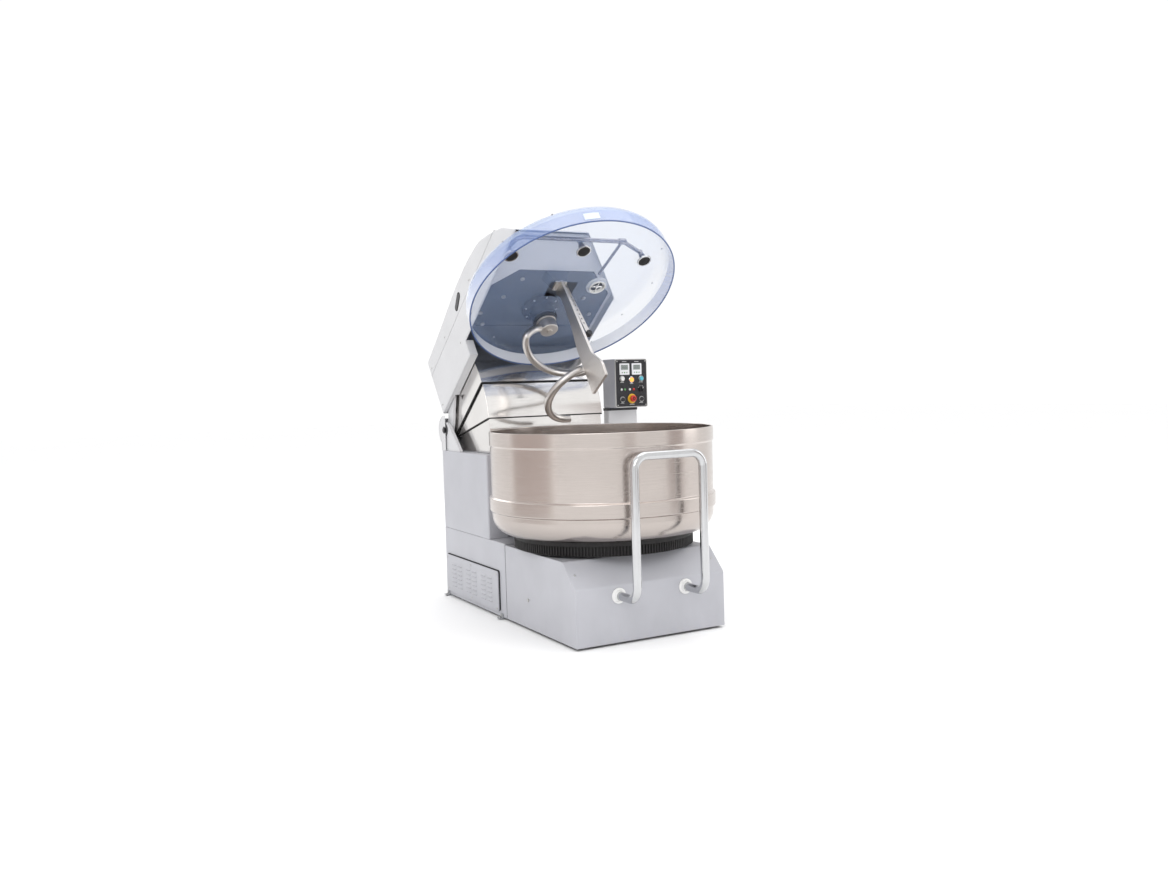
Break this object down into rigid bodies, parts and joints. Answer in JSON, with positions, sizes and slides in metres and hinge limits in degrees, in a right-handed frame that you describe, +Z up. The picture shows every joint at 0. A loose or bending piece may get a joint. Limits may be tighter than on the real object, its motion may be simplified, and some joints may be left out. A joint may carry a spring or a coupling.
{
  "type": "spiral dough mixer",
  "caption": "Industrial spiral dough mixer with a removable bowl on a wheeled trolley, a tilting head with clear lid, a spiral hook and a breaker blade, and a control panel.",
  "frame": {"origin": "on the floor under the middle of the whole machine's box, head raised", "axes": "+Z up, -Y towards the operator and the push handle, +X towards the control panel"},
  "size_m": [1.184, 1.9356, 2.0259],
  "materials": {
    "body_paint": "satin light grey powder coat with a fine texture",
    "frame_steel": "dark grey enamel",
    "head_paint": "pale grey satin powder coat",
    "shield_steel": "bright polished stainless sheet",
    "chromed_tube": "mirror chrome",
    "bowl_steel": "polished stainless, turned grain round the wall",
    "tool_steel": "cast stainless, satin",
    "cast_iron": "painted dark blue-grey casting",
    "ring_black": "black toothed ring, matt",
    "belt_rubber": "matt black rubber",
    "wheel_rubber": "dark rubber tread",
    "black_plastic": "fine matt moulding",
    "display_white": "white backlit window",
    "white_plastic": "off-white nylon",
    "amber_lens": "lit amber lens",
    "cyan_plastic": "gloss cyan cap",
    "red_plastic": "gloss red mushroom head",
    "clear_lid": "clear blue-tinted polycarbonate"
  },
  "bodies": {
    "base": {"chassis_frame": "frame_steel", "lower_body_shell": "body_paint", "column_shell": "body_paint", "column_top_plate": "body_paint", "side_vent_left": "body_paint", "side_vent_right": "body_paint", "levelling_foot_1": "frame_steel", "levelling_foot_2": "frame_steel", "levelling_foot_3": "frame_steel", "levelling_foot_4": "frame_steel", "hinge_pin_left": "frame_steel", "hinge_pin_right": "frame_steel", "rear_round_cover": "head_paint", "fixed_shield": "shield_steel", "bowl_drive_motor": "frame_steel", "control_post": "body_paint", "control_box": "body_paint", "control_fascia": "black_plastic", "display_left": "display_white", "display_right": "display_white", "indicator_lamp": "amber_lens"},
    "head": {"head_frame": "cast_iron", "head_top_cover": "head_paint", "head_side_shell": "head_paint", "head_shroud": "shield_steel", "spiral_motor": "frame_steel", "drive_belt": "belt_rubber", "dough_probe": "tool_steel", "breaker_blade": "tool_steel", "bowl_lid": "clear_lid", "lid_port_ring": "white_plastic", "spray_manifold": "chromed_tube", "spray_rose_left": "tool_steel", "spray_rose_middle": "tool_steel", "spray_rose_right": "tool_steel"},
    "visor": {"visor": "shield_steel"},
    "ram_barrel": {"lift_cylinder_barrel": "frame_steel"},
    "ram_rod": {"lift_cylinder_rod": "chromed_tube"},
    "spiral": {"spiral_shaft": "tool_steel", "spiral_pulley": "cast_iron", "spiral_hook": "tool_steel"},
    "motor_pulley": {"motor_pulley": "cast_iron"},
    "trolley": {"trolley_housing": "body_paint", "push_handle": "chromed_tube", "handle_bushing_left": "white_plastic", "handle_bushing_right": "white_plastic"},
    "bowl": {"bowl": "bowl_steel", "bowl_ring_gear": "ring_black"},
    "pinion": {"bowl_drive_pinion": "cast_iron"},
    "wheel_left": {"trolley_wheel_left": "wheel_rubber"},
    "wheel_right": {"trolley_wheel_right": "wheel_rubber"},
    "castor": {"castor_fork": "frame_steel"},
    "castor_wheel": {"castor_wheel": "wheel_rubber"},
    "light_button": {"light_button": "white_plastic"},
    "start_button": {"start_button": "cyan_plastic"},
    "jog_button": {"jog_button": "black_plastic"},
    "stop_button": {"stop_button": "black_plastic"},
    "speed_selector": {"speed_selector": "black_plastic"},
    "emergency_stop": {"emergency_stop": "red_plastic"}
  },
  "joints": [
    {"name": "head_tilt", "type": "hinge", "parent": "base", "child": "head", "pos_m": [-0.036, 0.73265, 0.946], "axis": [1, 0, 0], "range_deg": [0, 36.6]},
    {"name": "visor_swing", "type": "hinge", "parent": "base", "child": "visor", "pos_m": [-0.036, 0.73265, 0.946], "axis": [1, 0, 0], "range_deg": [0, 14.9]},
    {"name": "lift_cylinder_swing", "type": "hinge", "parent": "base", "child": "ram_barrel", "pos_m": [-0.036, 0.47865, 0.3], "axis": [1, 0, 0], "range_deg": [0, 11.11]},
    {"name": "lift_cylinder_stroke", "type": "slide", "parent": "ram_barrel", "child": "ram_rod", "axis": [0, 0.123, 0.9924], "range_m": [-0.1526, 0]},
    {"name": "spiral_spin", "type": "hinge", "parent": "head", "child": "spiral", "pos_m": [-0.036, 0.21754, 1.52038], "axis": [0, 0.5962, 0.8028], "continuous": true},
    {"name": "motor_pulley_spin", "type": "hinge", "parent": "head", "child": "motor_pulley", "pos_m": [-0.226, 0.70109, 1.36306], "axis": [0, 0.5962, 0.8028], "continuous": true},
    {"name": "bowl_spin", "type": "hinge", "parent": "trolley", "child": "bowl", "pos_m": [-0.036, -0.34135, 0.45], "axis": [0, 0, 1], "continuous": true},
    {"name": "pinion_spin", "type": "hinge", "parent": "base", "child": "pinion", "pos_m": [-0.036, 0.15665, 0.43], "axis": [0, 0, 1], "continuous": true},
    {"name": "trolley_dock", "type": "slide", "parent": "base", "child": "trolley", "axis": [0, -1, 0], "range_m": [0, 0.03]},
    {"name": "wheel_left_spin", "type": "hinge", "parent": "trolley", "child": "wheel_left", "pos_m": [-0.366, -0.16134, 0.07], "axis": [1, 0, 0], "continuous": true},
    {"name": "wheel_right_spin", "type": "hinge", "parent": "trolley", "child": "wheel_right", "pos_m": [0.294, -0.16134, 0.07], "axis": [1, 0, 0], "continuous": true},
    {"name": "castor_swivel", "type": "hinge", "parent": "trolley", "child": "castor", "pos_m": [-0.036, -0.64135, 0.16], "axis": [0, 0, 1], "continuous": true},
    {"name": "castor_wheel_spin", "type": "hinge", "parent": "castor", "child": "castor_wheel", "pos_m": [-0.036, -0.60735, 0.058], "axis": [1, 0, 0], "continuous": true},
    {"name": "light_button_press", "type": "slide", "parent": "base", "child": "light_button", "axis": [0, 1, 0], "range_m": [0, 0.004], "stiffness_N_per_m": 500, "springref_m": -0.002},
    {"name": "start_button_press", "type": "slide", "parent": "base", "child": "start_button", "axis": [0, 1, 0], "range_m": [0, 0.004], "stiffness_N_per_m": 500, "springref_m": -0.002},
    {"name": "jog_button_press", "type": "slide", "parent": "base", "child": "jog_button", "axis": [0, 1, 0], "range_m": [0, 0.004], "stiffness_N_per_m": 500, "springref_m": -0.002},
    {"name": "stop_button_press", "type": "slide", "parent": "base", "child": "stop_button", "axis": [0, 1, 0], "range_m": [0, 0.004], "stiffness_N_per_m": 500, "springref_m": -0.002},
    {"name": "speed_selector_turn", "type": "hinge", "parent": "base", "child": "speed_selector", "pos_m": [0.549, 0.21266, 1.146], "axis": [0, 1, 0], "range_deg": [-60, 60]},
    {"name": "emergency_stop_press", "type": "slide", "parent": "base", "child": "emergency_stop", "axis": [0, 1, 0], "range_m": [0, 0.004]}
  ],
  "couplings": [
    {"joint": "visor_swing", "follows": "head_tilt", "ratio": 0.4071},
    {"joint": "lift_cylinder_swing", "follows": "head_tilt", "ratio": 0.30333},
    {"joint": "lift_cylinder_stroke", "follows": "head_tilt", "m_per_rad": -0.23873},
    {"joint": "motor_pulley_spin", "follows": "spiral_spin", "ratio": 3.3333},
    {"joint": "pinion_spin", "follows": "bowl_spin", "ratio": -8.0364}
  ]
}
